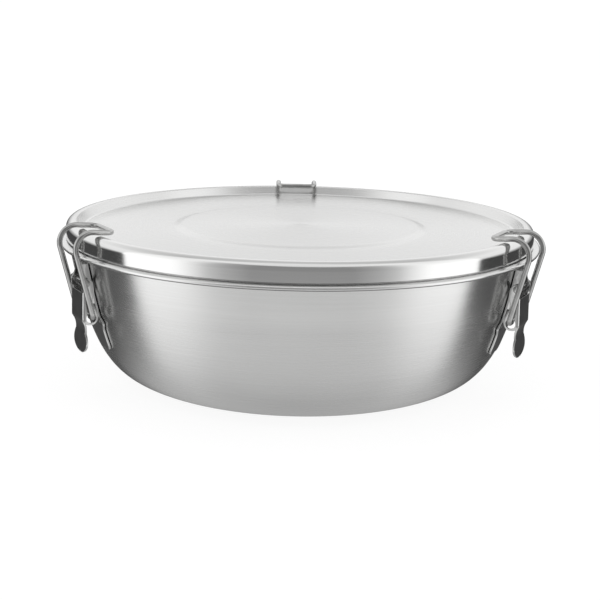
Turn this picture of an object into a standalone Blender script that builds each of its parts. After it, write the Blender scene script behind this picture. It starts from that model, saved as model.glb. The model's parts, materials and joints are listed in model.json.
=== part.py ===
"""Round steel lunch box: a bowl, a lift-off lid with a seal, and three wire latches.

The origin is the centre of the flat base and +Z is up. A latch is laid out in
its own plane, with X out from the box's axis, Y along the rim and Z up. An
empty on the box's axis turns that plane to the latch's place on the rim.
Lengths are in metres.
"""
import math

import bmesh
import bpy
from mathutils import Quaternion, Vector

GAP = 0.0003
MERGE = 1e-6
TURNED_SEGMENTS = 48
ROD_SIDES = 20
BORE_REACH = 0.01
OVERLAP = 0.0001

# Bowl: a flat base, a wall that rises as a power of the radius, a bead and a neck.
BASE_R = 0.049
WALL_R = 0.103
WALL_TOP_Z = 0.0598
WALL_POWER = 5.4
WALL_STEPS = 13
BOWL_SHEET = 0.0008
BEAD_R = 0.0009
BEAD_CENTRE_R = 0.1060
BEAD_Z = WALL_TOP_Z + BEAD_R
NECK_R = 0.1028
RIM_Z = 0.0659
RIM_CUT = 0.0002

# Lid: a raised plateau, a flat panel, a ridge with a rounded shoulder, and a skirt.
CREST_Z = 0.0698
LID_SHEET = 0.0007
PLATEAU_Z = CREST_Z - 0.0036
PLATEAU_R = 0.0535
PLATEAU_STEP = 0.003
PANEL_Z = CREST_Z - 0.0044
PANEL_R = 0.0969
CREST_IN_R = 0.0993
SKIRT_R = 0.104
SHOULDER_R = 0.0034
FOOT_R = 0.0012
CREST_R = 0.0009
SKIRT_BOTTOM_Z = CREST_Z - 0.0077

# Seal: a silicone ring in the lid's channel, just above the bowl's rim.
SEAL_IN_R = 0.0997
SEAL_OUT_R = 0.1026
SEAL_TOP_Z = CREST_Z - 0.0019
SEAL_BOTTOM_Z = RIM_Z + GAP
SEAL_CORNER = 0.0007

# Latches, in the latch's own plane.
LATCH_AZIMUTHS = {"back": 90.0, "front_left": 210.0, "front_right": 330.0}
HINGE = Vector((0.1045, 0.0, CREST_Z - 0.0193))
BAIL_PIVOT = Vector((0.1028, 0.0, CREST_Z - 0.0335))

# Bracket: a strip of (depth below the crest, half width), and an ear's outline of
# (distance from the axis, depth below the crest, corner radius).
BRACKET_SHEET = 0.0009
EAR_HALF = 0.0052
BRACKET_STRIP = (
    (0.0118, EAR_HALF), (0.016, EAR_HALF), (0.021, EAR_HALF), (0.026, EAR_HALF),
    (0.031, EAR_HALF), (0.0345, EAR_HALF), (0.036, 0.0069), (0.0374, 0.0074),
    (0.0388, 0.0069), (0.0405, 0.0058), (0.045, 0.0054), (0.0484, 0.0051), (0.0493, 0.0042))
EAR_OUTLINE = (
    (0.1031, 0.0118, 0.0001), (0.1057, 0.0118, 0.0004), (0.1048, 0.0157, 0.0030),
    (0.1064, 0.0188, 0.0012), (0.1046, 0.0212, 0.0012), (0.1022, 0.0235, 0.0010),
    (0.1014, 0.0285, 0.0002), (0.1003, 0.0285, 0.0001))

# Lever: a channel with the same kind of outline, and a thumb tab with a round end.
LEVER_HALF = 0.0071
LEVER_SHEET = 0.0009
FACE_R = 0.1060
FACE_TOP = 0.0233
FACE_END = 0.0345
CHEEK_OUTLINE = (
    (0.1054, 0.0177, 0.0013), (0.1036, 0.0176, 0.0010), (0.1017, 0.0189, 0.0012),
    (0.1013, 0.0226, 0.0022), (0.1023, 0.0277, 0.0040), (0.0995, 0.0327, 0.0028),
    (0.1006, 0.0371, 0.0028), (0.1048, 0.0369, 0.0020), (0.1064, FACE_END, 0.0012),
    (FACE_R, FACE_TOP, 0.0012), (0.1062, 0.0200, 0.0012))
CHANNEL_OUTLINE = (
    (0.0900, 0.0100), (0.1100, 0.0100), (0.1100, FACE_TOP), (0.1051, FACE_TOP),
    (0.1055, FACE_END), (0.1045, 0.0362), (0.1042, 0.0400), (0.0900, 0.0400))
TAB_NECK = (
    (0.1063, FACE_END, 0.0056), (0.1057, 0.0362, 0.0055), (0.1052, 0.0378, 0.0054),
    (0.1051, 0.0397, 0.0054))
TAB_TIP = (0.1055, 0.0493, 0.0020)
SPOON_STEPS = 8
SPOON_R = 0.1053
SPOON_TOP = 0.0409
SPOON_HALF = 0.0073
SPOON_WIDEST = 0.476
SPOON_UPPER = 0.42
SPOON_LOWER = 0.80

# Hinge pin and the holes in the cheeks.
PIN_R = 0.0009
PIN_HEAD_R = 0.0015
PIN_HEAD = 0.0006
PIN_HOLE_R = 0.0012
BAIL_HOLE_R = 0.0021
BAIL_HOLE_DROP = 0.0006

# Bail: wire ends in the cheeks, legs that lean out, and a crossbar inside the ridge.
WIRE_R = 0.0012
BAIL_HALF = 0.0097
BAIL_END = 0.0054
BAIL_LEAN = math.radians(13.5)
BAIL_FOOT_R = 0.0022
ARCH_R = 0.0070
HOOK_R = 0.0032
CREST_CONTACT_R = 0.1004
CREST_CONTACT_Z = CREST_Z + 0.00152
CROSSBAR_R = 0.0935
CROSSBAR_Z = CREST_Z + 0.00085


def clear_scene():
    for item in list(bpy.data.objects):
        bpy.data.objects.remove(item, do_unlink=True)


def material(name, colour, roughness, metallic):
    made = bpy.data.materials.new(name)
    made.use_nodes = True
    shader = made.node_tree.nodes["Principled BSDF"]
    shader.inputs["Base Color"].default_value = (*colour, 1.0)
    shader.inputs["Roughness"].default_value = roughness
    shader.inputs["Metallic"].default_value = metallic
    return made


def finish(mesh, bm):
    """Writes the bmesh into the mesh, closed, facing out and shaded smooth."""
    bmesh.ops.remove_doubles(bm, verts=bm.verts, dist=MERGE)
    bmesh.ops.recalc_face_normals(bm, faces=bm.faces)
    bm.to_mesh(mesh)
    bm.free()
    mesh.shade_smooth()
    mesh.set_sharp_from_angle(angle=math.radians(35))


def new_mesh(name, bm):
    mesh = bpy.data.meshes.new(name)
    finish(mesh, bm)
    return mesh


def place(name, data, look, parent=None, location=(0.0, 0.0, 0.0)):
    if not data.materials:
        data.materials.append(look)
    item = bpy.data.objects.new(name, data)
    item.parent = parent
    item.location = location
    bpy.context.collection.objects.link(item)
    return item


def rounded(corners, steps):
    """The path through corners given as (point, radius), each turned into an arc."""
    points = [corners[0][0]]
    for (before, _), (corner, radius), (after, _) in zip(corners, corners[1:], corners[2:]):
        back = (before - corner).normalized()
        ahead = (after - corner).normalized()
        half = back.angle(ahead) / 2
        centre = corner + (back + ahead).normalized() * radius / math.sin(half)
        first = corner + back * radius / math.tan(half) - centre
        last = corner + ahead * radius / math.tan(half) - centre
        axis = first.cross(last)
        for i in range(steps + 1):
            turn = Quaternion(axis, (math.pi - 2 * half) * i / steps)
            points.append(centre + turn @ first)
    points.append(corners[-1][0])
    return points


def at_depth(x, depth):
    """The point of the latch's plane at a depth below the lid's crest."""
    return Vector((x, 0.0, CREST_Z - depth))


def rounded_outline(corners, steps):
    """The closed outline through corners given as (x, depth, radius)."""
    ring = [(at_depth(x, depth), radius) for x, depth, radius in corners]
    return rounded([ring[-1]] + ring + [ring[0]], steps)[1:-1]


def turned(name, outline):
    """A solid of revolution about Z, from an outline of (r, z) points."""
    bm = bmesh.new()
    verts = [bm.verts.new((r, 0.0, z)) for r, z in outline]
    edges = [bm.edges.new(pair) for pair in zip(verts, verts[1:])]
    bmesh.ops.spin(bm, geom=verts + edges, cent=(0, 0, 0), axis=(0, 0, 1),
                   angle=math.tau, steps=TURNED_SEGMENTS, use_duplicate=False)
    return new_mesh(name, bm)


def plate(name, outline, low_y, high_y):
    """A flat plate: an outline in the latch's plane, extruded along Y."""
    bm = bmesh.new()
    face = bm.faces.new([bm.verts.new((p.x, low_y, p.z)) for p in outline])
    grown = bmesh.ops.extrude_face_region(bm, geom=[face])["geom"]
    far_side = [item for item in grown if isinstance(item, bmesh.types.BMVert)]
    bmesh.ops.translate(bm, verts=far_side, vec=(0.0, high_y - low_y, 0.0))
    return new_mesh(name, bm)


def strip(name, stations, sheet):
    """A bent strip of sheet, from stations of (x, depth, half width) down its outer side."""
    bm = bmesh.new()
    rings = []
    line = [at_depth(x, depth) for x, depth, _ in stations]
    for i, (_, _, half) in enumerate(stations):
        along = (line[min(i + 1, len(line) - 1)] - line[max(i - 1, 0)]).normalized()
        outer = line[i]
        inner = outer + Vector((along.z, 0.0, -along.x)) * sheet
        side = Vector((0.0, half, 0.0))
        corners = (outer - side, outer + side, inner + side, inner - side)
        rings.append([bm.verts.new(corner) for corner in corners])
    for upper, lower in zip(rings, rings[1:]):
        for k in range(4):
            bm.faces.new((upper[k], upper[(k + 1) % 4], lower[(k + 1) % 4], lower[k]))
    bm.faces.new(rings[0])
    bm.faces.new(rings[-1])
    return new_mesh(name, bm)


def rod(name, radius, low_y, high_y, centre):
    """A round bar along Y, centred on a point of the latch's plane."""
    turns = [math.tau * i / ROD_SIDES for i in range(ROD_SIDES)]
    circle = [centre + Vector((math.cos(turn), 0.0, math.sin(turn))) * radius for turn in turns]
    return plate(name, circle, low_y, high_y)


def combined(mesh, steps):
    """The mesh after Booleans, given as (operation, mesh) in order."""
    helpers = [bpy.data.objects.new("work", mesh)]
    for operation, other in steps:
        helper = bpy.data.objects.new("tool", other)
        helpers.append(helper)
        change = helpers[0].modifiers.new("step", "BOOLEAN")
        change.operation = operation
        change.solver = "EXACT"
        change.object = helper
    for helper in helpers:
        bpy.context.collection.objects.link(helper)
    graph = bpy.context.evaluated_depsgraph_get()
    result = bpy.data.meshes.new_from_object(helpers[0].evaluated_get(graph))
    for helper in helpers:
        bpy.data.objects.remove(helper, do_unlink=True)
    bm = bmesh.new()
    bm.from_mesh(result)
    finish(result, bm)
    return result


def moved(mesh, offset):
    """The mesh with its origin at the point that was at the offset, on a joint's axis."""
    for vert in mesh.vertices:
        vert.co -= offset
    return mesh


def wall_r(depth):
    """The bowl's outer radius at a depth below the lid's crest."""
    height = (CREST_Z - depth) / WALL_TOP_Z
    return BASE_R + (WALL_R - BASE_R) * height ** (1 / WALL_POWER)


def wall_curve(inset):
    """The wall from the base's edge to its top, as (r, z), at an inset into the steel."""
    points = []
    for i in range(WALL_STEPS + 1):
        share = (i / WALL_STEPS) ** 0.5
        r = BASE_R + (WALL_R - BASE_R) * share
        z = WALL_TOP_Z * share ** WALL_POWER
        slope = WALL_TOP_Z * WALL_POWER * share ** (WALL_POWER - 1) / (WALL_R - BASE_R)
        length = math.hypot(slope, 1.0)
        points.append((r - inset * slope / length, z + inset / length))
    return points


def make_bowl(steel):
    turns = [math.radians(turn) for turn in range(-90, 91, 30)]
    bead = [(BEAD_CENTRE_R + BEAD_R * math.cos(turn), BEAD_Z + BEAD_R * math.sin(turn))
            for turn in turns]
    inner_neck = NECK_R - BOWL_SHEET
    rim = [(NECK_R, BEAD_Z + BEAD_R), (NECK_R, RIM_Z - RIM_CUT), (NECK_R - RIM_CUT, RIM_Z),
           (inner_neck + RIM_CUT, RIM_Z), (inner_neck, RIM_Z - RIM_CUT), (inner_neck, BEAD_Z)]
    inside = wall_curve(BOWL_SHEET)
    outline = [(0.0, 0.0)] + wall_curve(0.0) + bead + rim + inside[::-1] + [(0.0, BOWL_SHEET)]
    return place("bowl", turned("bowl", outline), steel)


def lid_path():
    """The lid's upper surface, from its centre to the skirt's lower edge."""
    corners = [(Vector((PLATEAU_R + PLATEAU_STEP, 0.0, PANEL_Z)), 0.0),
               (Vector((PANEL_R, 0.0, PANEL_Z)), FOOT_R),
               (Vector((CREST_IN_R, 0.0, CREST_Z)), CREST_R),
               (Vector((SKIRT_R, 0.0, CREST_Z)), SHOULDER_R),
               (Vector((SKIRT_R, 0.0, SKIRT_BOTTOM_Z)), 0.0)]
    curve = [(point.x, point.z) for point in rounded(corners, 4)]
    return [(0.0, PLATEAU_Z), (PLATEAU_R, PLATEAU_Z)] + curve


def across(start, end):
    """The unit vector square to a step of the path, towards its under side."""
    return Vector((end[1] - start[1], start[0] - end[0])).normalized()


def under_side(path, sheet):
    """The path moved by the sheet's thickness to its under side."""
    points = [(0.0, path[0][1] - sheet)]
    beyond = (path[-1][0], path[-1][1] - sheet)
    for before, here, after in zip(path, path[1:], path[2:] + [beyond]):
        normal = (across(before, here) + across(here, after)) / 2
        shift = normal * sheet / normal.length_squared
        points.append((here[0] + shift.x, here[1] + shift.y))
    return points


def make_lid(steel):
    path = lid_path()
    outline = path + under_side(path, LID_SHEET)[::-1]
    return place("lid", turned("lid", outline), steel)


def make_seal(silicone):
    cut = SEAL_CORNER
    outline = [(SEAL_IN_R, SEAL_BOTTOM_Z), (SEAL_OUT_R, SEAL_BOTTOM_Z),
               (SEAL_OUT_R, SEAL_TOP_Z - cut), (SEAL_OUT_R - cut, SEAL_TOP_Z),
               (SEAL_IN_R + cut, SEAL_TOP_Z), (SEAL_IN_R, SEAL_TOP_Z - cut),
               (SEAL_IN_R, SEAL_BOTTOM_Z)]
    return place("seal", turned("seal", outline), silicone)


def bracket_mesh():
    """A strip down the wall, with two ears bent out to hold the hinge pin."""
    lift = GAP + BRACKET_SHEET
    base = strip("bracket", [(wall_r(depth) + lift, depth, half) for depth, half in BRACKET_STRIP],
                 BRACKET_SHEET)
    outline = rounded_outline(EAR_OUTLINE, 3)
    steps = []
    for side in (-1, 1):
        low_y, high_y = sorted((side * EAR_HALF, side * (EAR_HALF - BRACKET_SHEET)))
        steps.append(("UNION", plate("ear", outline, low_y, high_y)))
    steps.append(("DIFFERENCE", rod("bore", PIN_HOLE_R, -BORE_REACH, BORE_REACH, HINGE)))
    return combined(base, steps)


def spoon(share):
    """The station of the tab's round end a share of the way down it."""
    narrowing = SPOON_UPPER if share < SPOON_WIDEST else SPOON_LOWER
    half = SPOON_HALF * math.sqrt(1 - narrowing * (share / SPOON_WIDEST - 1) ** 2)
    return (SPOON_R + (TAB_TIP[0] - SPOON_R) * share,
            SPOON_TOP + (TAB_TIP[1] - SPOON_TOP) * share, half)


def lever_mesh():
    """A channel with two cheeks, drawn out below into a bent thumb tab."""
    solid = plate("lever", rounded_outline(CHEEK_OUTLINE, 4), -LEVER_HALF, LEVER_HALF)
    inner_half = LEVER_HALF - LEVER_SHEET
    hollow = [at_depth(x, depth) for x, depth in CHANNEL_OUTLINE]
    hole = BAIL_PIVOT - Vector((0.0, 0.0, BAIL_HOLE_DROP))
    end = [spoon(i / SPOON_STEPS) for i in range(SPOON_STEPS)]
    return combined(solid, [
        ("DIFFERENCE", plate("channel", hollow, -inner_half, inner_half)),
        ("UNION", strip("tab", [*TAB_NECK, *end, TAB_TIP], LEVER_SHEET)),
        ("DIFFERENCE", rod("pin_hole", PIN_HOLE_R, -BORE_REACH, BORE_REACH, HINGE)),
        ("DIFFERENCE", rod("bail_hole", BAIL_HOLE_R, -BORE_REACH, BORE_REACH, hole)),
    ])


def pin_mesh():
    """The hinge pin, a rivet with a head outside each cheek."""
    start = LEVER_HALF + GAP
    end = start + PIN_HEAD
    shank = rod("pin", PIN_R, -start, start, HINGE)
    return combined(shank, [
        ("UNION", rod("head", PIN_HEAD_R, start - OVERLAP, end, HINGE)),
        ("UNION", rod("head", PIN_HEAD_R, -end, OVERLAP - start, HINGE)),
    ])


def bail_curve():
    """The wire, from one cheek's hole up a leg, over the rim and back to the other."""
    slope = (CREST_CONTACT_Z - CROSSBAR_Z) / (CREST_CONTACT_R - CROSSBAR_R)
    lean = math.tan(BAIL_LEAN)
    rise = CROSSBAR_Z + slope * (BAIL_PIVOT.x - CROSSBAR_R) - BAIL_PIVOT.z
    top_z = BAIL_PIVOT.z + rise / (1 - slope * lean)
    top_r = BAIL_PIVOT.x + lean * (top_z - BAIL_PIVOT.z)
    side = [(BAIL_PIVOT.x, BAIL_END, BAIL_PIVOT.z, 0.0),
            (BAIL_PIVOT.x, BAIL_HALF, BAIL_PIVOT.z, BAIL_FOOT_R),
            (top_r, BAIL_HALF, top_z, ARCH_R),
            (CROSSBAR_R, BAIL_HALF, CROSSBAR_Z, HOOK_R)]
    corners = [(Vector((x, y, z)) - BAIL_PIVOT, radius) for x, y, z, radius in side]
    mirror = [(Vector((p.x, -p.y, p.z)), radius) for p, radius in reversed(corners)]
    points = rounded(corners + mirror, 6)
    wire = bpy.data.curves.new("bail", "CURVE")
    wire.dimensions = "3D"
    wire.bevel_depth = WIRE_R
    wire.bevel_resolution = 2
    wire.use_fill_caps = True
    line = wire.splines.new("POLY")
    line.points.add(len(points) - 1)
    for knot, point in zip(line.points, points):
        knot.co = (*point, 1.0)
    return wire


def make_latches(steel):
    """Three latches that share their meshes: bracket, pin, lever and bail."""
    bracket = bracket_mesh()
    lever = moved(lever_mesh(), HINGE)
    pin = moved(pin_mesh(), HINGE)
    bail = bail_curve()
    for name, azimuth in LATCH_AZIMUTHS.items():
        mount = bpy.data.objects.new(name + "_latch", None)
        mount.rotation_euler.z = math.radians(azimuth)
        bpy.context.collection.objects.link(mount)
        place(name + "_bracket", bracket, steel, mount)
        place(name + "_hinge_pin", pin, steel, mount, HINGE)
        arm = place(name + "_lever", lever, steel, mount, HINGE)
        place(name + "_bail", bail, steel, arm, BAIL_PIVOT - HINGE)


def main():
    clear_scene()
    make_bowl(material("bowl_steel", (0.62, 0.62, 0.61), 0.3, 1.0))
    make_lid(material("lid_steel", (0.68, 0.68, 0.67), 0.32, 1.0))
    make_seal(material("silicone", (0.72, 0.73, 0.73), 0.55, 0.0))
    make_latches(material("latch_steel", (0.56, 0.56, 0.56), 0.22, 1.0))


main()
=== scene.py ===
import json
import math

import bmesh
import bpy
from mathutils import Matrix, Quaternion, Vector


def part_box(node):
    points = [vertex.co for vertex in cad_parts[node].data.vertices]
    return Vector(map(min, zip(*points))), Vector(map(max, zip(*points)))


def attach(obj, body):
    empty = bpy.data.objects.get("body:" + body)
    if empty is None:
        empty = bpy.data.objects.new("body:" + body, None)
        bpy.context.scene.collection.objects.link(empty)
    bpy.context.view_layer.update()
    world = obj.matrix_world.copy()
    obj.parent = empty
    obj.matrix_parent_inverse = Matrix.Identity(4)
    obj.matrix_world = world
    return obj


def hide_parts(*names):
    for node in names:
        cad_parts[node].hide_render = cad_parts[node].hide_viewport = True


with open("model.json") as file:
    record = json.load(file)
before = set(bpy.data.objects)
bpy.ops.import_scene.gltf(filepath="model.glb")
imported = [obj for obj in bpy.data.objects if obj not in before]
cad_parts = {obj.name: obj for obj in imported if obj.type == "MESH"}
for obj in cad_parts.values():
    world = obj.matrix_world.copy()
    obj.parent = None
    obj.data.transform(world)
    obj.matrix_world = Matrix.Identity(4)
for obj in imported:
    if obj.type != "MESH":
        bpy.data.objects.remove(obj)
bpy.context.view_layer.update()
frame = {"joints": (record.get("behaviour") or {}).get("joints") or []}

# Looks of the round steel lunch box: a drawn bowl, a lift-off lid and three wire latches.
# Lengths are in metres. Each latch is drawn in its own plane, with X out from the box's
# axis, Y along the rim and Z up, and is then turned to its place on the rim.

LATCHES = ("back", "front_left", "front_right")
SMOOTH_ANGLE = math.radians(35)
MERGE = 1e-6
ROUNDING = 1e-7
BORE_REACH = 0.01

# Bowl.
TURNED_SEGMENTS = 240
BASE_R = 0.049
WALL_R = 0.103
WALL_POWER = 5.4
WALL_STEPS = 56
WALL_TOP_Z = 0.0598
BOWL_SHEET = 0.0008
BEAD_R = 0.0009
BEAD_CENTRE_R = 0.1060
# Painted shade under the bead: the band's reach in and out, its top and low edges, and how much
# near-black is mixed in.
CREASE_SHADE_IN = 0.0008
CREASE_SHADE_OUT = 0.0002
CREASE_SHADE_TOP = 0.00062
CREASE_SHADE_LOW = 0.00042
CREASE_SHADE_SHARE = 0.62
NECK_R = 0.1028
RIM_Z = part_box("bowl")[1].z

# Lid.
CREST_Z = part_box("lid")[1].z
LID_SHEET = 0.0007
PLATEAU_Z = CREST_Z - 0.0036
PLATEAU_R = 0.0528
PLATEAU_STEP = 0.0048
PANEL_Z = CREST_Z - 0.0044
PANEL_R = 0.0969
CREST_IN_R = 0.0993
SKIRT_R = 0.104
SHOULDER_R = 0.0034
FOOT_R = 0.0012
CREST_R = 0.0009
SKIRT_BOTTOM_Z = CREST_Z - 0.0077
CENTRE_DOT_R = 0.0012
CENTRE_DOT_DEPTH = 0.0002
POLISH_FROM_R = 0.0996
POLISH_TO_R = 0.1008

# Seal.
SEAL_IN_R = 0.0997
SEAL_CORNER = 0.0007

# Latch sheet parts, as depths below the lid's crest.
SHEET = 0.0009
EASE = 0.00016
GAP = 0.0003
EAR_HALF = 0.0052
LEVER_HALF = 0.0071
BEND_R = 0.0011
FACE_R = 0.1060
FACE_TOP = 0.0233
FOLD_END = 0.0346
PIN_R = 0.0009
PIN_HEAD_R = 0.0015
PIN_HEAD = 0.0006
PIN_EDGE = 0.0001
PIN_SIDE = 0.00025
PIN_DOME = 0.00035
PIN_FLAT_R = 0.0003
PIN_HOLE_R = 0.0012
BAIL_HOLE_R = 0.0021
BAIL_HOLE_DROP = 0.0006

# Bracket: (depth, half width) down its strip, an ear's outline of (distance from the
# axis, depth, corner radius), and the two weld spots pressed into the strip.
BRACKET_STRIP = (
    (0.0118, EAR_HALF), (0.0150, EAR_HALF), (0.0190, EAR_HALF), (0.0230, EAR_HALF),
    (0.0270, EAR_HALF), (0.0310, EAR_HALF), (0.0340, EAR_HALF), (0.0348, 0.0056),
    (0.0355, 0.0064), (0.0362, 0.0070), (0.0369, 0.00735), (0.0375, 0.0074),
    (0.0381, 0.0072), (0.0388, 0.0067), (0.0395, 0.0062), (0.0405, 0.0058),
    (0.0425, 0.0056), (0.0450, 0.0054), (0.0468, 0.0053), (0.0479, 0.0051),
    (0.0487, 0.0047), (0.0493, 0.0040))
EAR_OUTLINE = (
    (0.1031, 0.0118, 0.0001), (0.1057, 0.0118, 0.0004), (0.1048, 0.0157, 0.0030),
    (0.1064, 0.0188, 0.0012), (0.1046, 0.0212, 0.0012), (0.1022, 0.0235, 0.0010),
    (0.1014, 0.0285, 0.0002), (0.1003, 0.0285, 0.0001))
EAR_EASE = 0.00005
SPOT_R = 0.0024
SPOT_DIP = 0.00016
SPOT_SHIFT = -0.00012
SPOT_OUT = 0.0055
SPOT_DEPTH = 0.0375

# Lever: the cheek's outline in the same terms, then (depth, distance from the axis, half
# width) down the tab's neck, and the tab's round end.
CHEEK_OUTLINE = (
    (0.1054, 0.0177, 0.0013), (0.1036, 0.0176, 0.0010), (0.1017, 0.0189, 0.0012),
    (0.1013, 0.0226, 0.0022), (0.1023, 0.0277, 0.0040), (0.0995, 0.0327, 0.0028),
    (0.1006, 0.0371, 0.0028), (0.1048, 0.0369, 0.0020), (0.1064, FOLD_END, 0.0012),
    (FACE_R, FACE_TOP, 0.0012), (0.1062, 0.0200, 0.0012))
CHEEK_INSET = 0.00002
CHEEK_TOP_BAND = 0.0012
CHEEK_END_BAND = 0.0008
FACE_MIDDLE = 0.029
FLAT_SHARE = 0.6
TAB_NECK = (
    (0.0350, 0.10625, 0.00570), (0.0354, 0.10610, 0.00558), (0.0359, 0.10585, 0.00552),
    (0.0365, 0.10560, 0.00546), (0.0372, 0.10537, 0.00542), (0.0380, 0.10520, 0.00540),
    (0.0388, 0.10512, 0.00540), (0.0396, 0.10510, 0.00541), (0.0402, 0.10512, 0.00545))
TAB_STEPS = 16
TAB_COLUMNS = 12
TAB_START = 0.0408
TAB_START_HALF = 0.0056
TAB_END = 0.04929
TAB_DISH = 0.00012
SPOON_TOP = 0.0409
SPOON_END = 0.0493
SPOON_R = 0.1053
SPOON_LEAN = 0.0003
SPOON_HALF = 0.0073
SPOON_END_HALF = 0.0009
SPOON_WIDEST = 0.476
SPOON_UPPER = 0.42
SPOON_LOWER = 0.83

# Bail wire.
WIRE_R = 0.00113
BAIL_HALF = 0.0097
BAIL_END = 0.0054
BAIL_LEAN = math.radians(13.5)
BAIL_FOOT_R = 0.0022
ARCH_R = 0.0070
HOOK_R = 0.0032
CREST_CONTACT_R = 0.1004
CREST_CONTACT_Z = CREST_Z + 0.00152
CROSSBAR_R = 0.0935
CROSSBAR_Z = CREST_Z + 0.00085
WIRE_EASE = 0.3

# Surroundings.
FLOOR_HALF = 6.0
FLOOR_DROP = 0.0002
BACKDROP_R = 5.5

joints = {joint["name"]: joint for joint in frame["joints"]}


def joint_point(name):
    """A joint's point in the latch's own plane."""
    x, y, z = joints[name]["pos_m"]
    return Vector((math.hypot(x, y), 0.0, z))


HINGE = joint_point("back_lever_hinge")
BAIL_PIVOT = joint_point("back_bail_hinge")


# ---------------------------------------------------------------- mesh tools

def mesh_from(name, bm):
    bmesh.ops.remove_doubles(bm, verts=bm.verts, dist=MERGE)
    bmesh.ops.recalc_face_normals(bm, faces=bm.faces)
    mesh = bpy.data.meshes.new(name)
    bm.to_mesh(mesh)
    bm.free()
    mesh.shade_smooth()
    mesh.set_sharp_from_angle(angle=SMOOTH_ANGLE)
    return mesh


def rounded(corners, steps):
    """The path through corners given as (point, radius), each turned into an arc."""
    points = [corners[0][0]]
    for (before, _), (corner, radius), (after, _) in zip(corners, corners[1:], corners[2:]):
        back = (before - corner).normalized()
        ahead = (after - corner).normalized()
        half = back.angle(ahead) / 2
        centre = corner + (back + ahead).normalized() * radius / math.sin(half)
        first = corner + back * radius / math.tan(half) - centre
        last = corner + ahead * radius / math.tan(half) - centre
        axis = first.cross(last)
        for i in range(steps + 1):
            turn = Quaternion(axis, (math.pi - 2 * half) * i / steps)
            points.append(centre + turn @ first)
    points.append(corners[-1][0])
    return points


def at_depth(x, depth):
    return Vector((x, 0.0, CREST_Z - depth))


def closed_outline(corners, steps):
    """The closed outline through corners given as (x, depth, radius)."""
    ring = [(at_depth(x, depth), radius) for x, depth, radius in corners]
    return rounded([ring[-1]] + ring + [ring[0]], steps)[1:-1]


def turned(name, outline):
    """A solid of revolution about Z, from a closed outline of (r, z) points."""
    bm = bmesh.new()
    rings = []
    for r, z in outline:
        if r < MERGE:
            rings.append([bm.verts.new((0.0, 0.0, z))])
            continue
        turns = [math.tau * i / TURNED_SEGMENTS for i in range(TURNED_SEGMENTS)]
        rings.append([bm.verts.new((r * math.cos(t), r * math.sin(t), z)) for t in turns])
    for near, far in zip(rings, rings[1:]):
        for i in range(TURNED_SEGMENTS):
            j = (i + 1) % TURNED_SEGMENTS
            corners = [near[i % len(near)], near[j % len(near)],
                       far[j % len(far)], far[i % len(far)]]
            corners = [v for k, v in enumerate(corners) if v is not corners[k - 1]]
            if len(corners) > 2:
                bm.faces.new(corners)
    return mesh_from(name, bm)


def tube(name, points, radius, sides):
    """A round wire along points, with eased ends."""
    bm = bmesh.new()
    tangents = []
    for i in range(len(points)):
        a = points[max(i - 1, 0)]
        b = points[min(i + 1, len(points) - 1)]
        tangents.append((b - a).normalized())
    normal = tangents[0].orthogonal().normalized()
    rings = []

    def ring(centre, size, tangent, normal):
        side = tangent.cross(normal)
        turns = [math.tau * k / sides for k in range(sides)]
        return [bm.verts.new(centre + (normal * math.cos(t) + side * math.sin(t)) * size)
                for t in turns]

    ease = radius * WIRE_EASE
    for i, (point, tangent) in enumerate(zip(points, tangents)):
        if i:
            normal = (tangents[i - 1].rotation_difference(tangent) @ normal).normalized()
        if i == 0:
            rings.append(ring(point, radius - ease, tangent, normal))
            rings.append(ring(point + tangent * ease * WIRE_EASE, radius - ease * WIRE_EASE,
                              tangent, normal))
            rings.append(ring(point + tangent * ease, radius, tangent, normal))
        elif i == len(points) - 1:
            rings.append(ring(point - tangent * ease, radius, tangent, normal))
            rings.append(ring(point - tangent * ease * WIRE_EASE, radius - ease * WIRE_EASE,
                              tangent, normal))
            rings.append(ring(point, radius - ease, tangent, normal))
        else:
            rings.append(ring(point, radius, tangent, normal))
    for near, far in zip(rings, rings[1:]):
        for k in range(sides):
            m = (k + 1) % sides
            bm.faces.new((near[k], near[m], far[m], far[k]))
    bm.faces.new(rings[0])
    bm.faces.new(rings[-1])
    return mesh_from(name, bm)


def inset_outline(outline, distance):
    """A closed outline moved inward, for plates whose edges are eased."""
    area = 0.0
    count = len(outline)
    for a, b in zip(outline, outline[1:] + outline[:1]):
        area += a.x * b.z - b.x * a.z
    sign = 1.0 if area > 0 else -1.0
    moved = []
    for i, point in enumerate(outline):
        along = (outline[(i + 1) % count] - outline[i - 1]).normalized()
        moved.append(point + Vector((-along.z, 0.0, along.x)) * distance * sign)
    return moved


def plate(name, outline, low_y, high_y, ease):
    """A flat plate in the latch's plane, with eased edges."""
    bm = bmesh.new()
    levels = []
    for i in range(4):
        turn = math.pi / 2 * i / 3
        levels.append((low_y + ease * (1 - math.sin(turn)), ease * (1 - math.cos(turn))))
    levels = levels[::-1]
    levels += [(low_y + high_y - y, inset) for y, inset in levels[::-1]]
    rings = []
    for y, inset in levels:
        ring = inset_outline(outline, inset) if inset > MERGE else outline
        rings.append([bm.verts.new((p.x, y, p.z)) for p in ring])
    count = len(outline)
    for near, far in zip(rings, rings[1:]):
        for k in range(count):
            m = (k + 1) % count
            bm.faces.new((near[k], near[m], far[m], far[k]))
    bm.faces.new(rings[0])
    bm.faces.new(rings[-1])
    return mesh_from(name, bm)


def section(half, sheet, ease):
    """A rounded rectangle across a strip, as (y, depth into the sheet)."""
    points = []
    for cy, cd, start in ((half - ease, ease, 0.0), (half - ease, sheet - ease, 90.0),
                          (ease - half, sheet - ease, 180.0), (ease - half, ease, 270.0)):
        for k in range(4):
            turn = math.radians(start - 90.0 + 30.0 * k)
            points.append((cy + ease * math.cos(turn), cd + ease * math.sin(turn)))
        if start == 90.0 or start == 270.0:
            edge = points[-1]
            span = 2 * (half - ease)
            direction = -1.0 if start == 90.0 else 1.0
            points += [(edge[0] + direction * span * m / 8, edge[1]) for m in range(1, 8)]
    return points


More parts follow.
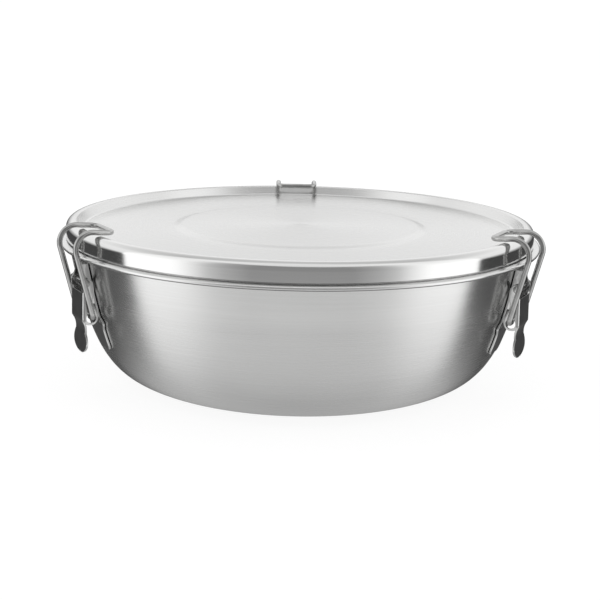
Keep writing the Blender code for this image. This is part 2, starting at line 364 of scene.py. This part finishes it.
def strip(name, stations, sheet, ease, hug_r):
    """A bent strip of sheet, hugging a round wall, from (x, depth, half width) stations."""
    bm = bmesh.new()
    rings = []
    line = [at_depth(x, depth) for x, depth, _ in stations]
    for i, (_, _, half) in enumerate(stations):
        along = (line[min(i + 1, len(line) - 1)] - line[max(i - 1, 0)]).normalized()
        inward = Vector((along.z, 0.0, -along.x))
        ring = []
        for y, into in section(half, sheet, ease):
            point = line[i] + inward * into + Vector((-y * y / (2 * hug_r), y, 0.0))
            ring.append(bm.verts.new(point))
        rings.append(ring)
    count = len(rings[0])
    for near, far in zip(rings, rings[1:]):
        for k in range(count):
            m = (k + 1) % count
            bm.faces.new((near[k], near[m], far[m], far[k]))
    bm.faces.new(rings[0])
    bm.faces.new(rings[-1])
    return mesh_from(name, bm)


def lathe_y(name, profile, centre, sides=32):
    """A solid of revolution about a line along Y, from (radius, y) points."""
    bm = bmesh.new()
    rings = []
    for radius, y in profile:
        turns = [math.tau * i / sides for i in range(sides)]
        rings.append([bm.verts.new(centre + Vector((radius * math.cos(t), y,
                                                    radius * math.sin(t)))) for t in turns])
    for near, far in zip(rings, rings[1:]):
        for k in range(sides):
            m = (k + 1) % sides
            bm.faces.new((near[k], near[m], far[m], far[k]))
    bm.faces.new(rings[0])
    bm.faces.new(rings[-1])
    return mesh_from(name, bm)


def bore(radius, centre):
    return lathe_y("bore", [(radius, -BORE_REACH), (radius, BORE_REACH)], centre)


def ball(name, centre, radius):
    bm = bmesh.new()
    bmesh.ops.create_uvsphere(bm, u_segments=32, v_segments=24, radius=radius)
    bmesh.ops.translate(bm, verts=bm.verts, vec=centre)
    return mesh_from(name, bm)


def combined(name, mesh, steps, modifiers=()):
    """The mesh after modifiers and Booleans, given as (operation, mesh) in order."""
    base = bpy.data.objects.new("work", mesh)
    helpers = [base]
    for kind, settings in modifiers:
        change = base.modifiers.new(kind.lower(), kind)
        for key, value in settings.items():
            setattr(change, key, value)
    for operation, other in steps:
        helper = bpy.data.objects.new("tool", other)
        helpers.append(helper)
        change = base.modifiers.new("step", "BOOLEAN")
        change.operation = operation
        change.solver = "EXACT"
        change.object = helper
    for helper in helpers:
        bpy.context.scene.collection.objects.link(helper)
    graph = bpy.context.evaluated_depsgraph_get()
    result = bpy.data.meshes.new_from_object(base.evaluated_get(graph))
    for helper in helpers:
        bpy.data.objects.remove(helper, do_unlink=True)
    bm = bmesh.new()
    bm.from_mesh(result)
    return mesh_from(name, bm)


# ---------------------------------------------------------------- turned parts

def wall_r(depth):
    """The bowl's outer radius at a depth below the lid's crest."""
    height = (CREST_Z - depth) / WALL_TOP_Z
    return BASE_R + (WALL_R - BASE_R) * height ** (1 / WALL_POWER)


def wall_curve(inset):
    points = []
    for i in range(WALL_STEPS + 1):
        share = (i / WALL_STEPS) ** 0.5
        r = BASE_R + (WALL_R - BASE_R) * share
        z = WALL_TOP_Z * share ** WALL_POWER
        slope = WALL_TOP_Z * WALL_POWER * share ** (WALL_POWER - 1) / (WALL_R - BASE_R)
        length = math.hypot(slope, 1.0)
        points.append((r - inset * slope / length, z + inset / length))
    return points


def bowl_mesh():
    bead_z = WALL_TOP_Z + BEAD_R
    turns = [math.radians(turn) for turn in range(-90, 91, 12)]
    bead = [(BEAD_CENTRE_R + BEAD_R * math.cos(turn), bead_z + BEAD_R * math.sin(turn))
            for turn in turns]
    inner_neck = NECK_R - BOWL_SHEET
    half = BOWL_SHEET / 2
    rim = [(NECK_R, bead_z + BEAD_R)]
    for k in range(9):
        turn = math.pi * k / 8
        rim.append((NECK_R - half + half * math.cos(turn), RIM_Z - half + half * math.sin(turn)))
    rim.append((inner_neck, bead_z))
    inside = wall_curve(BOWL_SHEET)
    outline = [(0.0, 0.0)] + wall_curve(0.0) + bead + rim + inside[::-1] + [(0.0, BOWL_SHEET)]
    return turned("bowl_shell", outline)


def lid_path():
    """The lid's upper surface, from its centre to the skirt's lower edge."""
    points = []
    for i in range(7):
        share = i / 6
        points.append((CENTRE_DOT_R * share,
                       PLATEAU_Z - CENTRE_DOT_DEPTH * (1 - share * share) ** 2))
    for r in (0.006, 0.015, 0.028, 0.042):
        points.append((r, PLATEAU_Z))
    for i in range(13):
        share = i / 12
        soft = share * share * (3 - 2 * share)
        points.append((PLATEAU_R + PLATEAU_STEP * share, PLATEAU_Z + (PANEL_Z - PLATEAU_Z) * soft))
    for r in (0.062, 0.072, 0.084):
        points.append((r, PANEL_Z))
    corners = [(Vector((0.092, 0.0, PANEL_Z)), 0.0),
               (Vector((PANEL_R, 0.0, PANEL_Z)), FOOT_R),
               (Vector((CREST_IN_R, 0.0, CREST_Z)), CREST_R),
               (Vector((SKIRT_R, 0.0, CREST_Z)), SHOULDER_R),
               (Vector((SKIRT_R, 0.0, SKIRT_BOTTOM_Z)), 0.0)]
    return points + [(point.x, point.z) for point in rounded(corners, 14)]


def across(start, end):
    return Vector((end[1] - start[1], start[0] - end[0])).normalized()


def under_side(path, sheet):
    points = [(0.0, path[0][1] - sheet)]
    beyond = (path[-1][0], path[-1][1] - sheet)
    for before, here, after in zip(path, path[1:], path[2:] + [beyond]):
        normal = (across(before, here) + across(here, after)) / 2
        shift = normal * sheet / normal.length_squared
        points.append((here[0] + shift.x, here[1] + shift.y))
    return points


def lid_mesh():
    path = lid_path()
    path.insert(-1, (SKIRT_R, SKIRT_BOTTOM_Z + EASE))
    path[-1] = (SKIRT_R - EASE, SKIRT_BOTTOM_Z)
    under = under_side(lid_path(), LID_SHEET)
    return turned("lid_shell", path + under[::-1])


def seal_mesh():
    low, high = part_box("seal")
    inner, outer, cut = SEAL_IN_R, high.x, SEAL_CORNER
    outline = [(inner, low.z), (outer, low.z)]
    for cx, start in ((outer - cut, 0.0), (inner + cut, 90.0)):
        for k in range(5):
            turn = math.radians(start + 22.5 * k)
            outline.append((cx + cut * math.cos(turn), high.z - cut + cut * math.sin(turn)))
    outline.append((inner, low.z))
    return turned("seal_ring", outline)


# ---------------------------------------------------------------- latch parts

def bracket_mesh():
    lift = GAP + SHEET
    base = strip("bracket", [(wall_r(depth) + lift, depth, half) for depth, half in BRACKET_STRIP],
                 SHEET, EASE, WALL_R)
    ear = closed_outline(EAR_OUTLINE, 6)
    steps = []
    for side in (-1, 1):
        low_y, high_y = sorted((side * EAR_HALF, side * (EAR_HALF - SHEET)))
        steps.append(("UNION", plate("ear", ear, low_y, high_y, EAR_EASE)))
    steps.append(("DIFFERENCE", bore(PIN_HOLE_R, HINGE)))
    for side in (-1, 1):
        spot = at_depth(wall_r(SPOT_DEPTH) + lift + SPOT_R - SPOT_DIP, SPOT_DEPTH)
        spot += Vector((SPOT_SHIFT, side * SPOT_OUT, 0.0))
        steps.append(("DIFFERENCE", ball("spot", spot, SPOT_R)))
    return combined("bracket", base, steps)


def crossing(outline, depth):
    """The lowest and highest X of a closed outline at a depth."""
    z = CREST_Z - depth
    found = []
    for a, b in zip(outline, outline[1:] + outline[:1]):
        if (a.z - z) * (b.z - z) <= 0 and abs(a.z - b.z) > ROUNDING / 100:
            found.append(a.x + (b.x - a.x) * (z - a.z) / (b.z - a.z))
    return min(found), max(found)


def lever_mesh():
    """One folded sheet: two cheeks, a face between them, and a thumb tab below."""
    cheek = closed_outline(CHEEK_OUTLINE, 10)
    top = CREST_Z - max(p.z for p in cheek)
    bottom = CREST_Z - min(p.z for p in cheek)
    depths = []
    for start, end, count in ((top + CHEEK_INSET, top + CHEEK_TOP_BAND, 6),
                              (top + CHEEK_TOP_BAND, FACE_TOP, 12),
                              (FACE_TOP, FOLD_END, 22),
                              (FOLD_END, bottom - CHEEK_END_BAND, 4),
                              (bottom - CHEEK_END_BAND, bottom - CHEEK_INSET, 5)):
        depths += [start + (end - start) * i / count for i in range(count)]
    depths.append(bottom - CHEEK_INSET)
    folded = [FACE_TOP - ROUNDING <= depth <= FOLD_END + ROUNDING for depth in depths]
    bm = bmesh.new()
    flat_columns, bend_columns = 6, 5
    edge = {}
    for side in (-1, 1):
        rows = []
        for depth, fold in zip(depths, folded):
            low, high = crossing(cheek, depth)
            row = []
            start_bend = high - BEND_R
            if start_bend <= low:
                start_bend = low + (high - low) * FLAT_SHARE
            for i in range(flat_columns):
                x = low + (start_bend - low) * i / flat_columns
                row.append((x, LEVER_HALF))
            for i in range(bend_columns + 1):
                turn = math.pi / 2 * i / bend_columns
                if fold:
                    row.append((start_bend + BEND_R * math.sin(turn),
                                LEVER_HALF - BEND_R + BEND_R * math.cos(turn)))
                else:
                    row.append((start_bend + (high - start_bend) * i / bend_columns, LEVER_HALF))
            if fold:
                edge[round(depth, 7)] = row[-1]
            rows.append([bm.verts.new((x, side * y, CREST_Z - depth)) for x, y in row])
        for near, far in zip(rows, rows[1:]):
            for k in range(len(near) - 1):
                bm.faces.new((near[k], near[k + 1], far[k + 1], far[k]))
    tab = [(depth, edge[round(depth, 7)][0], edge[round(depth, 7)][1])
           for depth, fold in zip(depths, folded) if fold]
    tab += TAB_NECK
    for i in range(TAB_STEPS + 1):
        share = i / TAB_STEPS
        depth = TAB_START + (TAB_END - TAB_START) * math.sin(share * math.pi / 2)
        along = (depth - SPOON_TOP) / (SPOON_END - SPOON_TOP)
        narrowing = SPOON_UPPER if along < SPOON_WIDEST else SPOON_LOWER
        square = 1 - narrowing * (along / SPOON_WIDEST - 1) ** 2
        half = SPOON_HALF * math.sqrt(max(square, 0.0)) if i else TAB_START_HALF
        tab.append((depth, SPOON_R + SPOON_LEAN * max(along, 0.0), max(half, SPOON_END_HALF)))
    rows = []
    for depth, x, half in tab:
        row = []
        for k in range(TAB_COLUMNS + 1):
            share = 2 * k / TAB_COLUMNS - 1
            dish = TAB_DISH * (share * share - 1) if depth > TAB_NECK[-1][0] else 0.0
            row.append(bm.verts.new((x + dish, half * share, CREST_Z - depth)))
        rows.append(row)
    for near, far in zip(rows, rows[1:]):
        for k in range(TAB_COLUMNS):
            bm.faces.new((near[k], near[k + 1], far[k + 1], far[k]))
    bmesh.ops.remove_doubles(bm, verts=bm.verts, dist=2 * MERGE)
    bmesh.ops.recalc_face_normals(bm, faces=bm.faces)
    probe = min(bm.faces, key=lambda f: (f.calc_center_median() - Vector(
        (FACE_R, 0.0, CREST_Z - FACE_MIDDLE))).length)
    if probe.normal.x < 0:
        bmesh.ops.reverse_faces(bm, faces=bm.faces)
    mesh = bpy.data.meshes.new("lever")
    bm.to_mesh(mesh)
    bm.free()
    hole = BAIL_PIVOT - Vector((0.0, 0.0, BAIL_HOLE_DROP))
    return combined("lever", mesh, [
        ("DIFFERENCE", bore(PIN_HOLE_R, HINGE)),
        ("DIFFERENCE", bore(BAIL_HOLE_R, hole)),
    ], [("SOLIDIFY", {"thickness": SHEET, "offset": -1.0, "use_rim": True}),
        ("BEVEL", {"width": EASE, "segments": 2, "limit_method": "ANGLE",
                   "angle_limit": math.radians(50), "use_clamp_overlap": False})])


def pin_mesh():
    start = LEVER_HALF + GAP
    end = start + PIN_HEAD
    side = [(PIN_R, 0.0), (PIN_R, start), (PIN_HEAD_R - PIN_EDGE, start),
            (PIN_HEAD_R, start + PIN_EDGE), (PIN_HEAD_R, start + PIN_SIDE)]
    for k in range(1, 6):
        turn = math.pi / 2 * k / 6
        side.append((PIN_HEAD_R * math.cos(turn),
                     start + PIN_SIDE + PIN_DOME * math.sin(turn)))
    side.append((PIN_FLAT_R, end))
    mirror = [(radius, -y) for radius, y in side[:0:-1]]
    return lathe_y("pin", mirror + side, HINGE)


def bail_mesh():
    slope = (CREST_CONTACT_Z - CROSSBAR_Z) / (CREST_CONTACT_R - CROSSBAR_R)
    lean = math.tan(BAIL_LEAN)
    rise = CROSSBAR_Z + slope * (BAIL_PIVOT.x - CROSSBAR_R) - BAIL_PIVOT.z
    top_z = BAIL_PIVOT.z + rise / (1 - slope * lean)
    top_r = BAIL_PIVOT.x + lean * (top_z - BAIL_PIVOT.z)
    corners = [(Vector((BAIL_PIVOT.x, BAIL_END, BAIL_PIVOT.z)), 0.0),
               (Vector((BAIL_PIVOT.x, BAIL_HALF, BAIL_PIVOT.z)), BAIL_FOOT_R),
               (Vector((top_r, BAIL_HALF, top_z)), ARCH_R),
               (Vector((CROSSBAR_R, BAIL_HALF, CROSSBAR_Z)), HOOK_R)]
    mirror = [(Vector((p.x, -p.y, p.z)), radius) for p, radius in reversed(corners)]
    return tube("bail", rounded(corners + mirror, 14), WIRE_R, 24)


# ---------------------------------------------------------------- materials

def tree_of(name):
    made = bpy.data.materials.new(name)
    made.use_nodes = True
    nodes = made.node_tree.nodes
    shader = nodes["Principled BSDF"]
    return made, nodes, made.node_tree.links, shader


def add(nodes, links, kind, inputs=(), **settings):
    """A node with its settings, and its inputs from other sockets or plain values."""
    node = nodes.new(kind)
    for key, value in settings.items():
        setattr(node, key, value)
    for slot, value in dict(inputs).items():
        if isinstance(value, bpy.types.NodeSocket):
            links.new(value, node.inputs[slot])
        else:
            node.inputs[slot].default_value = value
    return node


def math_node(nodes, links, operation, a, b=0.0, c=0.0):
    return add(nodes, links, "ShaderNodeMath", {0: a, 1: b, 2: c}, operation=operation).outputs[0]


def turned_coordinates(nodes, links, around, along):
    """A vector that follows the lines left by spinning: slow around the axis, quick across."""
    place = add(nodes, links, "ShaderNodeTexCoord").outputs["Object"]
    split = add(nodes, links, "ShaderNodeSeparateXYZ", {0: place})
    x, y, z = split.outputs
    square = math_node(nodes, links, "ADD", math_node(nodes, links, "MULTIPLY", x, x),
                       math_node(nodes, links, "MULTIPLY", y, y))
    r = math_node(nodes, links, "SQRT", square)
    safe = math_node(nodes, links, "MAXIMUM", r, 0.0005)
    cos_a = math_node(nodes, links, "DIVIDE", x, safe)
    sin_a = math_node(nodes, links, "DIVIDE", y, safe)
    path = math_node(nodes, links, "ADD", r, z)
    vector = add(nodes, links, "ShaderNodeCombineXYZ", {
        0: math_node(nodes, links, "MULTIPLY", cos_a, around),
        1: math_node(nodes, links, "MULTIPLY", sin_a, around),
        2: math_node(nodes, links, "MULTIPLY", path, along)})
    return vector.outputs[0], r, place


def spun_steel(name, colour, dark, roughness, rim_roughness, anisotropy, around, along, bump,
               wave):
    """Satin steel with fine lines round the box's axis, and a smoother outer rim."""
    made, nodes, links, shader = tree_of(name)
    fine, r, place = turned_coordinates(nodes, links, around, along)
    coarse = add(nodes, links, "ShaderNodeVectorMath", {0: fine, 1: (0.6, 0.6, 0.16)},
                 operation="MULTIPLY").outputs[0]
    lines = add(nodes, links, "ShaderNodeTexNoise",
                {"Vector": fine, "Scale": 1.0, "Detail": 4.0, "Roughness": 0.65}).outputs[0]
    bands = add(nodes, links, "ShaderNodeTexNoise",
                {"Vector": coarse, "Scale": 1.0, "Detail": 3.0, "Roughness": 0.55}).outputs[0]
    smudge = add(nodes, links, "ShaderNodeTexNoise",
                 {"Vector": place, "Scale": 26.0, "Detail": 3.0, "Roughness": 0.5}).outputs[0]
    blend = math_node(nodes, links, "ADD", math_node(nodes, links, "MULTIPLY", lines, 0.6),
                      math_node(nodes, links, "MULTIPLY", bands, 0.4))
    tint = add(nodes, links, "ShaderNodeValToRGB", {0: blend})
    tint.color_ramp.elements[0].position = 0.3
    tint.color_ramp.elements[0].color = (*dark, 1.0)
    tint.color_ramp.elements[1].position = 0.7
    tint.color_ramp.elements[1].color = (*colour, 1.0)
    links.new(tint.outputs[0], shader.inputs["Base Color"])
    grain = add(nodes, links, "ShaderNodeMapRange",
                {"Value": lines, "From Min": 0.3, "From Max": 0.7,
                 "To Min": roughness - 0.03, "To Max": roughness + 0.03}).outputs[0]
    haze = add(nodes, links, "ShaderNodeMapRange",
               {"Value": smudge, "From Min": 0.35, "From Max": 0.75,
                "To Min": -0.012, "To Max": 0.02}).outputs[0]
    rim = add(nodes, links, "ShaderNodeMapRange",
              {"Value": r, "From Min": POLISH_FROM_R, "From Max": POLISH_TO_R,
               "To Min": 0.0, "To Max": rim_roughness - roughness}).outputs[0]
    worn = math_node(nodes, links, "ADD", grain, haze)
    links.new(math_node(nodes, links, "ADD", worn, rim), shader.inputs["Roughness"])
    height = math_node(nodes, links, "ADD", lines,
                       math_node(nodes, links, "MULTIPLY", bands, wave))
    relief = add(nodes, links, "ShaderNodeBump", {"Height": height, "Strength": bump,
                                                  "Distance": 0.00002}).outputs[0]
    links.new(relief, shader.inputs["Normal"])
    around_axis = add(nodes, links, "ShaderNodeTangent", direction_type="RADIAL", axis="Z")
    links.new(around_axis.outputs[0], shader.inputs["Tangent"])
    shader.inputs["Metallic"].default_value = 1.0
    shader.inputs["Anisotropic"].default_value = anisotropy
    shader.inputs["Anisotropic Rotation"].default_value = 0.25
    return made


def painted_crease_shade(made):
    """Painted shade: a dark line mixed into the bowl's colour in the crease under the bead, standing
    in for the bead's shade.
    """
    nodes, links = made.node_tree.nodes, made.node_tree.links
    shader = nodes["Principled BSDF"]
    colour = shader.inputs["Base Color"].links[0].from_socket
    place = add(nodes, links, "ShaderNodeTexCoord").outputs["Object"]
    x, y, z = add(nodes, links, "ShaderNodeSeparateXYZ", {0: place}).outputs
    square = math_node(nodes, links, "ADD", math_node(nodes, links, "MULTIPLY", x, x),
                       math_node(nodes, links, "MULTIPLY", y, y))
    outside = add(nodes, links, "ShaderNodeMapRange", {
        "Value": math_node(nodes, links, "SQRT", square), "From Min": BEAD_CENTRE_R - CREASE_SHADE_IN,
        "From Max": BEAD_CENTRE_R - CREASE_SHADE_OUT}).outputs[0]
    below = add(nodes, links, "ShaderNodeMapRange", {
        "Value": z, "From Min": WALL_TOP_Z + CREASE_SHADE_TOP, "From Max": WALL_TOP_Z + CREASE_SHADE_LOW}).outputs[0]
    share = math_node(nodes, links, "MULTIPLY", math_node(nodes, links, "MULTIPLY", outside, below),
                      CREASE_SHADE_SHARE)
    # Painted shade: near-black is mixed into the colour where both masks meet, under the bead.
    mixed = add(nodes, links, "ShaderNodeMix", {0: share, 6: colour, 7: (0.10, 0.10, 0.10, 1.0)},
                data_type="RGBA").outputs[2]
    links.new(mixed, shader.inputs["Base Color"])


def latch_steel(name, colour, dark, roughness):
    """Bright steel with light scratches."""
    made, nodes, links, shader = tree_of(name)
    place = add(nodes, links, "ShaderNodeTexCoord").outputs["Object"]
    long = add(nodes, links, "ShaderNodeMapping", {"Vector": place,
                                                   "Scale": (900.0, 900.0, 260.0)}).outputs[0]
    scratches = add(nodes, links, "ShaderNodeTexNoise",
                    {"Vector": long, "Scale": 3.0, "Detail": 5.0, "Roughness": 0.6}).outputs[0]
    cloud = add(nodes, links, "ShaderNodeTexNoise",
                {"Vector": place, "Scale": 220.0, "Detail": 3.0, "Roughness": 0.5}).outputs[0]
    tint = add(nodes, links, "ShaderNodeValToRGB", {0: cloud})
    tint.color_ramp.elements[0].position = 0.32
    tint.color_ramp.elements[0].color = (*dark, 1.0)
    tint.color_ramp.elements[1].position = 0.68
    tint.color_ramp.elements[1].color = (*colour, 1.0)
    links.new(tint.outputs[0], shader.inputs["Base Color"])
    rough = add(nodes, links, "ShaderNodeMapRange",
                {"Value": scratches, "From Min": 0.3, "From Max": 0.7,
                 "To Min": roughness - 0.04, "To Max": roughness + 0.05}).outputs[0]
    links.new(rough, shader.inputs["Roughness"])
    relief = add(nodes, links, "ShaderNodeBump", {"Height": scratches, "Strength": 0.12,
                                                  "Distance": 0.00002}).outputs[0]
    links.new(relief, shader.inputs["Normal"])
    shader.inputs["Metallic"].default_value = 1.0
    return made


def silicone():
    made, nodes, links, shader = tree_of("silicone_look")
    place = add(nodes, links, "ShaderNodeTexCoord").outputs["Object"]
    cloud = add(nodes, links, "ShaderNodeTexNoise",
                {"Vector": place, "Scale": 300.0, "Detail": 4.0}).outputs[0]
    tint = add(nodes, links, "ShaderNodeValToRGB", {0: cloud})
    tint.color_ramp.elements[0].color = (0.66, 0.67, 0.67, 1.0)
    tint.color_ramp.elements[1].color = (0.78, 0.79, 0.79, 1.0)
    links.new(tint.outputs[0], shader.inputs["Base Color"])
    rough = add(nodes, links, "ShaderNodeMapRange", {"Value": cloud, "To Min": 0.45,
                                                     "To Max": 0.65}).outputs[0]
    links.new(rough, shader.inputs["Roughness"])
    relief = add(nodes, links, "ShaderNodeBump", {"Height": cloud, "Strength": 0.15,
                                                  "Distance": 0.00003}).outputs[0]
    links.new(relief, shader.inputs["Normal"])
    shader.inputs["Subsurface Weight"].default_value = 0.1
    shader.inputs["Subsurface Radius"].default_value = (0.001, 0.001, 0.001)
    return made


bowl_look = spun_steel("bowl_look", (0.745, 0.745, 0.74), (0.685, 0.685, 0.68),
                       0.26, 0.22, 0.94, 3.0, 8200.0, 0.09, 0.25)
lid_look = spun_steel("lid_look", (0.77, 0.77, 0.765), (0.735, 0.735, 0.73),
                      0.27, 0.12, 0.6, 3.0, 7200.0, 0.09, 0.15)
# Painted shade line in the crease under the bowl's bead.
painted_crease_shade(bowl_look)
wire_look = latch_steel("wire_look", (0.50, 0.50, 0.495), (0.40, 0.40, 0.395), 0.09)
sheet_look = latch_steel("sheet_look", (0.66, 0.66, 0.655), (0.56, 0.56, 0.555), 0.12)
seal_look = silicone()


# ---------------------------------------------------------------- pieces

def piece(name, mesh, look, node, body, matrix=Matrix.Identity(4)):
    """A visible piece that takes a CAD node's place and rides its body."""
    mesh.materials.clear()
    mesh.materials.append(look)
    made = bpy.data.objects.new(name, mesh)
    bpy.context.scene.collection.objects.link(made)
    made.matrix_world = matrix
    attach(made, body)
    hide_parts(node)
    return made


piece("bowl_shell", bowl_mesh(), bowl_look, "bowl", "bowl")
piece("lid_shell", lid_mesh(), lid_look, "lid", "lid")
piece("seal_ring", seal_mesh(), seal_look, "seal", "lid")

bracket = bracket_mesh()
lever = lever_mesh()
pin = pin_mesh()
bail = bail_mesh()
for latch in LATCHES:
    x, y, _ = joints[latch + "_lever_hinge"]["pos_m"]
    turn = Matrix.Rotation(math.atan2(y, x), 4, "Z")
    piece(latch + "_bracket_sheet", bracket.copy(), sheet_look, latch + "_bracket", "bowl",
          turn)
    piece(latch + "_pin_rivet", pin.copy(), wire_look, latch + "_hinge_pin", "bowl",
          turn)
    piece(latch + "_lever_sheet", lever.copy(), sheet_look, latch + "_lever", latch + "_lever",
          turn)
    piece(latch + "_bail_wire", bail.copy(), wire_look, latch + "_bail", latch + "_bail",
          turn)


# ---------------------------------------------------------------- floor, light and camera

def floor():
    """A pale floor, left out of reflections so that the steel sees the surroundings."""
    bm = bmesh.new()
    bmesh.ops.create_grid(bm, x_segments=2, y_segments=2, size=FLOOR_HALF)
    bmesh.ops.translate(bm, verts=bm.verts, vec=(0.0, 0.0, -FLOOR_DROP))
    made = bpy.data.objects.new("floor", mesh_from("floor", bm))
    look, _, _, shader = tree_of("floor_look")
    shader.inputs["Base Color"].default_value = (0.22, 0.22, 0.22, 1.0)
    shader.inputs["Emission Color"].default_value = (1.0, 1.0, 1.0, 1.0)
    shader.inputs["Emission Strength"].default_value = 0.86
    shader.inputs["Roughness"].default_value = 0.9
    shader.inputs["Specular IOR Level"].default_value = 0.0
    made.data.materials.append(look)
    made.visible_glossy = False
    bpy.context.scene.collection.objects.link(made)


def backdrop():
    """A white shell that only fills the picture behind the object."""
    bm = bmesh.new()
    bmesh.ops.create_uvsphere(bm, u_segments=32, v_segments=16, radius=BACKDROP_R)
    made = bpy.data.objects.new("backdrop", mesh_from("backdrop", bm))
    look, _, _, shader = tree_of("backdrop_look")
    shader.inputs["Base Color"].default_value = (0.0, 0.0, 0.0, 1.0)
    shader.inputs["Emission Color"].default_value = (1.0, 1.0, 1.0, 1.0)
    shader.inputs["Emission Strength"].default_value = 1.0
    made.data.materials.append(look)
    for ray in ("diffuse", "glossy", "transmission", "volume_scatter", "shadow"):
        setattr(made, "visible_" + ray, False)
    bpy.context.scene.collection.objects.link(made)


def ramp(nodes, links, source, stops):
    node = add(nodes, links, "ShaderNodeValToRGB", {0: source})
    elements = node.color_ramp.elements
    elements[0].position, elements[1].position = stops[0][0], stops[-1][0]
    elements[0].color = (*[stops[0][1]] * 3, 1.0)
    elements[1].color = (*[stops[-1][1]] * 3, 1.0)
    for position, value in stops[1:-1]:
        elements.new(position).color = (*[value] * 3, 1.0)
    return node.outputs[0]


def studio():
    """Soft studio surroundings, mixed by bearing: grey in front at the camera's level,
    bright at both sides, and at the back dark below the rim and bright above it."""
    world = bpy.data.worlds.new("studio")
    bpy.context.scene.world = world
    world.use_nodes = True
    nodes, links = world.node_tree.nodes, world.node_tree.links
    sky = nodes["Background"]
    aim = add(nodes, links, "ShaderNodeTexCoord").outputs["Generated"]
    x, y, z = add(nodes, links, "ShaderNodeSeparateXYZ", {0: aim}).outputs
    bearing = math_node(nodes, links, "ARCTAN2", math_node(nodes, links, "ABSOLUTE", x),
                        math_node(nodes, links, "MULTIPLY", y, -1.0))
    side = math_node(nodes, links, "DIVIDE", bearing, math.pi)
    height = math_node(nodes, links, "DIVIDE", math_node(nodes, links, "ARCSINE", z), math.pi)
    level = math_node(nodes, links, "ADD", height, 0.5)

    def up(degrees):
        return degrees / 180.0 + 0.5

    front = ramp(nodes, links, level, [
        (0.0, 0.45), (up(-70), 0.54), (up(-55), 0.68), (up(-42), 0.83), (up(-30), 0.87),
        (up(-22), 0.64), (up(-17), 0.37), (up(0), 0.31), (up(50), 0.30), (up(56), 0.9),
        (1.0, 1.0)])
    flank = ramp(nodes, links, level, [
        (0.0, 0.45), (up(-60), 0.54), (up(-45), 0.72), (up(-33), 1.08), (up(-22), 1.38),
        (up(10), 1.38), (up(45), 1.1), (1.0, 1.0)])
    back = ramp(nodes, links, level, [
        (0.0, 0.50), (up(-60), 0.58), (up(-42), 0.50), (up(-28), 0.10), (up(-5), 0.055),
        (up(4), 0.55), (up(10), 1.0), (up(28), 1.06), (up(42), 0.86), (up(60), 0.62),
        (up(78), 0.70), (1.0, 0.95)])
    to_flank = ramp(nodes, links, side, [
        (0.13, 0.0), (0.20, 0.15), (0.245, 0.32), (0.283, 0.62), (0.33, 0.92), (0.36, 1.0)])
    to_back = ramp(nodes, links, side, [(0.500, 0.0), (0.509, 1.0)])
    first = add(nodes, links, "ShaderNodeMix", {0: to_flank, 6: front, 7: flank},
                data_type="RGBA").outputs[2]
    both = add(nodes, links, "ShaderNodeMix", {0: to_back, 6: first, 7: back},
               data_type="RGBA").outputs[2]
    links.new(both, sky.inputs["Color"])
    sky.inputs["Strength"].default_value = 1.0


def camera():
    """The camera, as it stood for the picture: 14 degrees down, turned a little and tilted."""
    distance, down, aim_down = 0.47344, math.radians(9.296), math.radians(13.934)
    turn, tilt, pan = math.radians(-1.496), math.radians(1.186), math.radians(-0.071)
    data = bpy.data.cameras.new("camera")
    data.lens = 62.385
    data.sensor_width = 36.0
    data.clip_start = 0.01
    made = bpy.data.objects.new("camera", data)
    bpy.context.scene.collection.objects.link(made)
    spin = Matrix.Rotation(turn, 3, "Z")
    place = Vector((0.0, -distance * math.cos(down), CREST_Z + distance * math.sin(down)))
    ahead = Vector((0.0, math.cos(aim_down), -math.sin(aim_down)))
    top = Vector((0.0, math.sin(aim_down), math.cos(aim_down)))
    right = Vector((1.0, 0.0, 0.0))
    right, ahead = (right * math.cos(pan) + ahead * math.sin(pan),
                    ahead * math.cos(pan) - right * math.sin(pan))
    image_x = right * math.cos(tilt) + top * math.sin(tilt)
    image_y = top * math.cos(tilt) - right * math.sin(tilt)
    axes = Matrix((spin @ image_x, spin @ image_y, spin @ -ahead)).transposed().to_4x4()
    made.matrix_world = Matrix.Translation(spin @ place) @ axes
    bpy.context.scene.camera = made


floor()
backdrop()
studio()
camera()
bpy.context.scene.view_settings.view_transform = "Standard"
